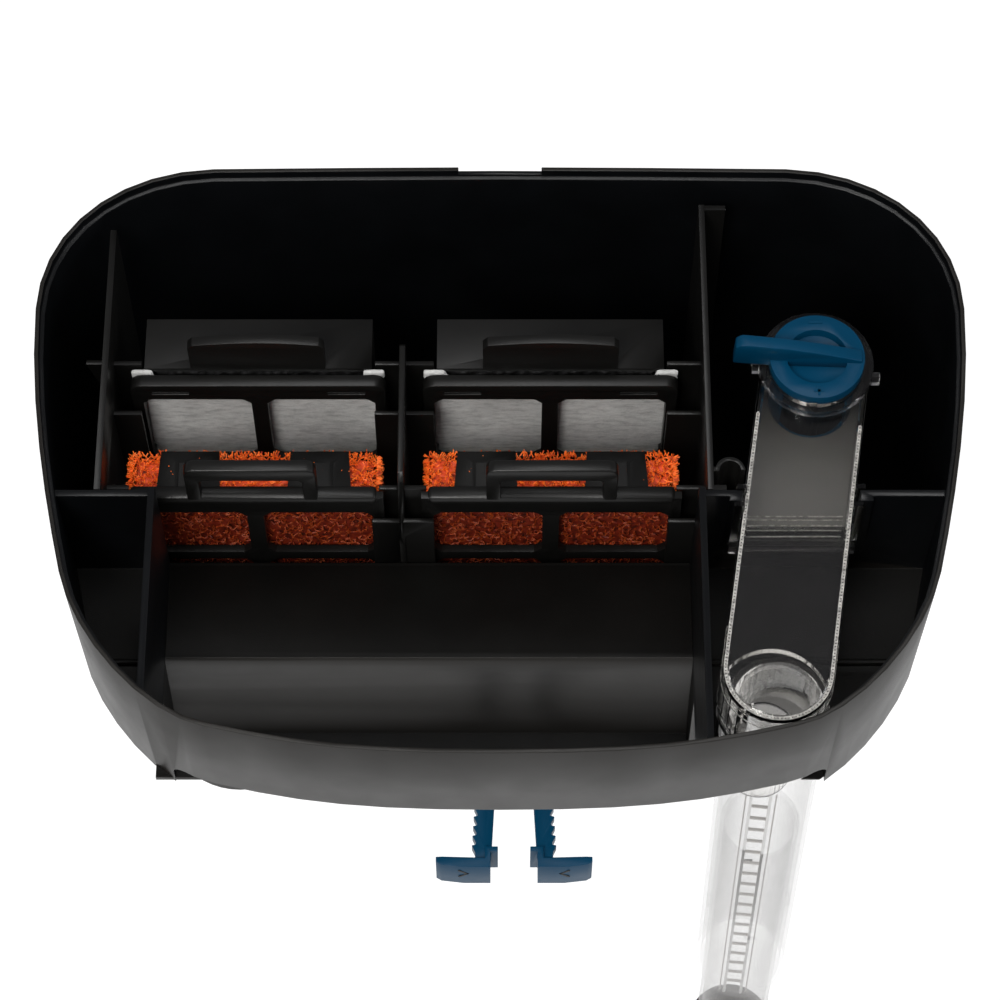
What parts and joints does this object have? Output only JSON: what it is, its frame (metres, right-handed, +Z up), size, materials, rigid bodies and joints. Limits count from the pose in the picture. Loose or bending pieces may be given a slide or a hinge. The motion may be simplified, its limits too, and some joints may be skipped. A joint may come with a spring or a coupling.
{
  "type": "hang-on aquarium filter",
  "caption": "Hang-on-back aquarium filter, lid off: tapered box with spillway, lift-out foam and fleece cartridges, clear intake with flow knob, and a squeeze clamp for the glass.",
  "frame": {"origin": "middle of the flat underside of the bridge, where it rests on the top edge of the aquarium's glass", "axes": "+Z up, +Y out of the tank towards the deep chamber, +X along the glass to the intake's side"},
  "size_m": [0.301, 0.2106, 0.4219],
  "materials": {
    "black_shell": "fine satin texture, moulded ABS",
    "black_inner": "smooth black ABS",
    "clear_plastic": "clear acrylic",
    "blue_plastic": "satin blue ABS",
    "orange_foam": "open-cell reticulated foam",
    "white_fleece": "felted polyester fleece",
    "carbon": "granules in a net bag",
    "rubber": "soft black rubber",
    "ferrite": "sintered ferrite",
    "ceramic": "ground ceramic",
    "steel": "stacked lamination steel",
    "copper": "wound copper wire"
  },
  "bodies": {
    "box": {"filter_body": "black_shell", "divider_left": "black_inner", "divider_middle": "black_inner", "divider_right": "black_inner", "impeller_cover": "black_inner", "pump_shaft": "ceramic", "bush_top": "rubber", "bush_bottom": "rubber", "rotor_can": "black_inner", "can_seal": "rubber", "motor_cup": "black_shell", "stator_core": "steel", "coil_left": "copper", "coil_right": "copper", "cable_gland": "rubber"},
    "elbow": {"intake_elbow": "clear_plastic", "elbow_seal": "rubber"},
    "tube": {"intake_tube": "clear_plastic"},
    "extension": {"extension_tube": "clear_plastic", "strainer": "black_inner"},
    "knob": {"flow_knob": "blue_plastic"},
    "rotor": {"impeller": "blue_plastic", "rotor_magnet": "ferrite"},
    "clamp": {"clamp_plate": "blue_plastic", "clamp_pad": "rubber"},
    "arm_left": {"clamp_arm_left": "blue_plastic"},
    "arm_right": {"clamp_arm_right": "blue_plastic"},
    "foot": {"level_foot": "rubber"},
    "foam_left": {"foam_frame_left": "black_inner", "foam_block_left": "orange_foam"},
    "fleece_left": {"fleece_face_left": "black_inner", "fleece_sheet_left": "white_fleece", "media_box_left": "black_inner", "carbon_media_left": "carbon"},
    "foam_right": {"foam_frame_right": "black_inner", "foam_block_right": "orange_foam"},
    "fleece_right": {"fleece_face_right": "black_inner", "fleece_sheet_right": "white_fleece", "media_box_right": "black_inner", "carbon_media_right": "carbon"}
  },
  "joints": [
    {"name": "intake_lift", "type": "slide", "parent": "box", "child": "elbow", "axis": [0, 0, 1], "range_m": [0, 0.06]},
    {"name": "tube_pull", "type": "slide", "parent": "elbow", "child": "tube", "axis": [0.0161, 0, -0.9999], "range_m": [0, 0.048]},
    {"name": "extension_slide", "type": "slide", "parent": "tube", "child": "extension", "axis": [0.0161, 0, -0.9999], "range_m": [-0.046, 0.1]},
    {"name": "knob_turn", "type": "hinge", "parent": "elbow", "child": "knob", "pos_m": [0.1026, 0.067, 0.057], "axis": [0, 0, 1], "range_deg": [-45, 45]},
    {"name": "impeller_spin", "type": "hinge", "parent": "box", "child": "rotor", "pos_m": [0.1026, 0.067, -0.13], "axis": [0, 0, 1], "continuous": true},
    {"name": "clamp_slide", "type": "slide", "parent": "box", "child": "clamp", "axis": [0, 1, 0], "range_m": [0, 0.016]},
    {"name": "arm_left_squeeze", "type": "hinge", "parent": "clamp", "child": "arm_left", "pos_m": [-0.0031, -0.0176, -0.051], "axis": [0, 0, 1], "range_deg": [0, 3], "stiffness_Nm_per_rad": 0.3, "springref_deg": -2.86},
    {"name": "arm_right_squeeze", "type": "hinge", "parent": "clamp", "child": "arm_right", "pos_m": [0.0125, -0.0176, -0.051], "axis": [0, 0, -1], "range_deg": [0, 3], "stiffness_Nm_per_rad": 0.3, "springref_deg": -2.86},
    {"name": "foot_slide", "type": "slide", "parent": "box", "child": "foot", "axis": [0, -1, 0], "range_m": [0, 0.012]},
    {"name": "foam_left_lift", "type": "slide", "parent": "box", "child": "foam_left", "axis": [0, 0, 1], "range_m": [0, 0.18]},
    {"name": "fleece_left_lift", "type": "slide", "parent": "box", "child": "fleece_left", "axis": [0, 0, 1], "range_m": [0, 0.18]},
    {"name": "foam_right_lift", "type": "slide", "parent": "box", "child": "foam_right", "axis": [0, 0, 1], "range_m": [0, 0.18]},
    {"name": "fleece_right_lift", "type": "slide", "parent": "box", "child": "fleece_right", "axis": [0, 0, 1], "range_m": [0, 0.18]}
  ]
}
